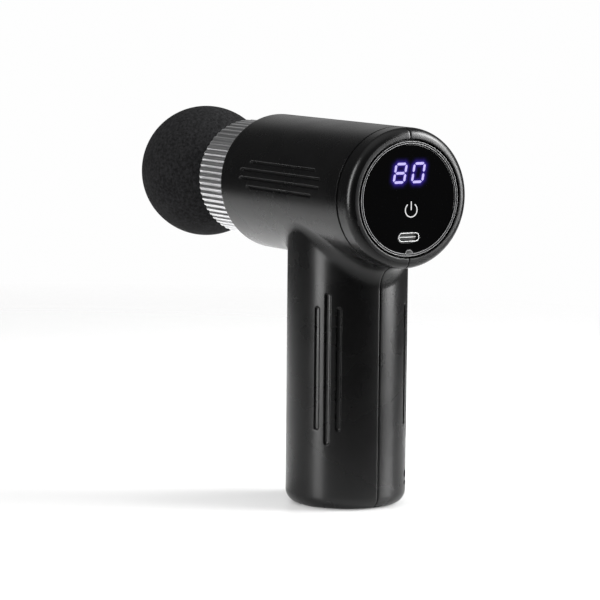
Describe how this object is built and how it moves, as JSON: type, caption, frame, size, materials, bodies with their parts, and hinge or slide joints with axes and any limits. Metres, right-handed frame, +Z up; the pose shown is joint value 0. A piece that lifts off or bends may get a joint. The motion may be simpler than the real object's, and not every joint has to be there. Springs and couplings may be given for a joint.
{
  "type": "massage gun",
  "caption": "Handheld percussion massage gun: round barrel on a round handle, ribbed metal collar, foam ball on a sliding plunger, round display panel with USB-C socket.",
  "frame": {"origin": "centre of the flat base of the handle", "axes": "+Z up the handle; +X along the barrel towards the display panel, so the ball head points to -X; +Y to the side with the strap eyelet"},
  "size_m": [0.1722, 0.0514, 0.1417],
  "materials": {
    "shell_black": "satin soft-touch black, fine moulded texture",
    "inner_plastic": "matte black",
    "panel_glass": "gloss black",
    "trim_grey": "satin grey",
    "collar_aluminium": "satin ribbed",
    "foam": "closed-cell EVA foam, fine speckle",
    "rubber_black": "matte",
    "steel": "ground",
    "cast_aluminium": "as cast",
    "brass": "turned",
    "copper": "enamelled copper winding",
    "nickel": "bright",
    "cell_wrap": "shrink sleeve",
    "white_plastic": "matte white",
    "board_green": "solder resist",
    "wire_red": "insulation",
    "wire_black": "insulation"
  },
  "bodies": {
    "housing": {"battery_cell_front": "cell_wrap", "battery_cell_rear": "cell_wrap", "battery_holder_bottom": "white_plastic", "battery_holder_top": "white_plastic", "battery_lead_front": "wire_black", "battery_lead_rear": "wire_red", "board_screw_1": "steel", "board_screw_2": "steel", "board_screw_3": "steel", "capacitor": "cell_wrap", "control_board": "board_green", "damper_front": "rubber_black", "damper_motor": "rubber_black", "digit_module": "white_plastic", "display_board": "board_green", "display_cable": "wire_black", "display_carrier": "inner_plastic", "display_lens": "panel_glass", "drive_frame": "cast_aluminium", "driver_chip": "inner_plastic", "guide_bush_front": "brass", "guide_bush_rear": "brass", "left_housing": "shell_black", "motor_bearing_bottom": "steel", "motor_bearing_top": "steel", "motor_case": "steel", "motor_end_cap": "inner_plastic", "motor_lead": "wire_black", "motor_screw_1": "steel", "motor_screw_2": "steel", "motor_stator": "copper", "nickel_link": "nickel", "nickel_tab_front": "nickel", "nickel_tab_rear": "nickel", "nose_collar": "collar_aluminium", "nose_sleeve": "inner_plastic", "right_housing": "shell_black", "touch_spring": "nickel", "trim_ring": "trim_grey", "usb_shell": "steel", "usb_tongue": "inner_plastic", "wiper_seal": "rubber_black"},
    "piston": {"piston": "steel", "wrist_pin": "steel"},
    "rod": {"connecting_rod": "cast_aluminium", "small_end_bush": "brass", "big_end_bearing": "steel", "crank_pin": "steel"},
    "rotor": {"motor_shaft": "steel", "motor_rotor": "inner_plastic", "crank_wheel": "steel"},
    "ball": {"ball_head": "foam", "ball_stem": "inner_plastic", "stem_ring_1": "rubber_black", "stem_ring_2": "rubber_black"}
  },
  "joints": [
    {"name": "piston_slide", "type": "slide", "parent": "housing", "child": "piston", "axis": [-1, 0, 0], "range_m": [0, 0.008]},
    {"name": "rod_swing", "type": "hinge", "parent": "piston", "child": "rod", "pos_m": [-0.022, 0, 0.116], "axis": [0, 0, 1], "range_deg": [-8.8, 8.8]},
    {"name": "motor_spin", "type": "hinge", "parent": "housing", "child": "rotor", "pos_m": [0, 0, 0.09], "axis": [0, 0, 1], "continuous": true},
    {"name": "ball_pull_off", "type": "slide", "parent": "piston", "child": "ball", "axis": [-1, 0, 0], "range_m": [0, 0.025]}
  ]
}
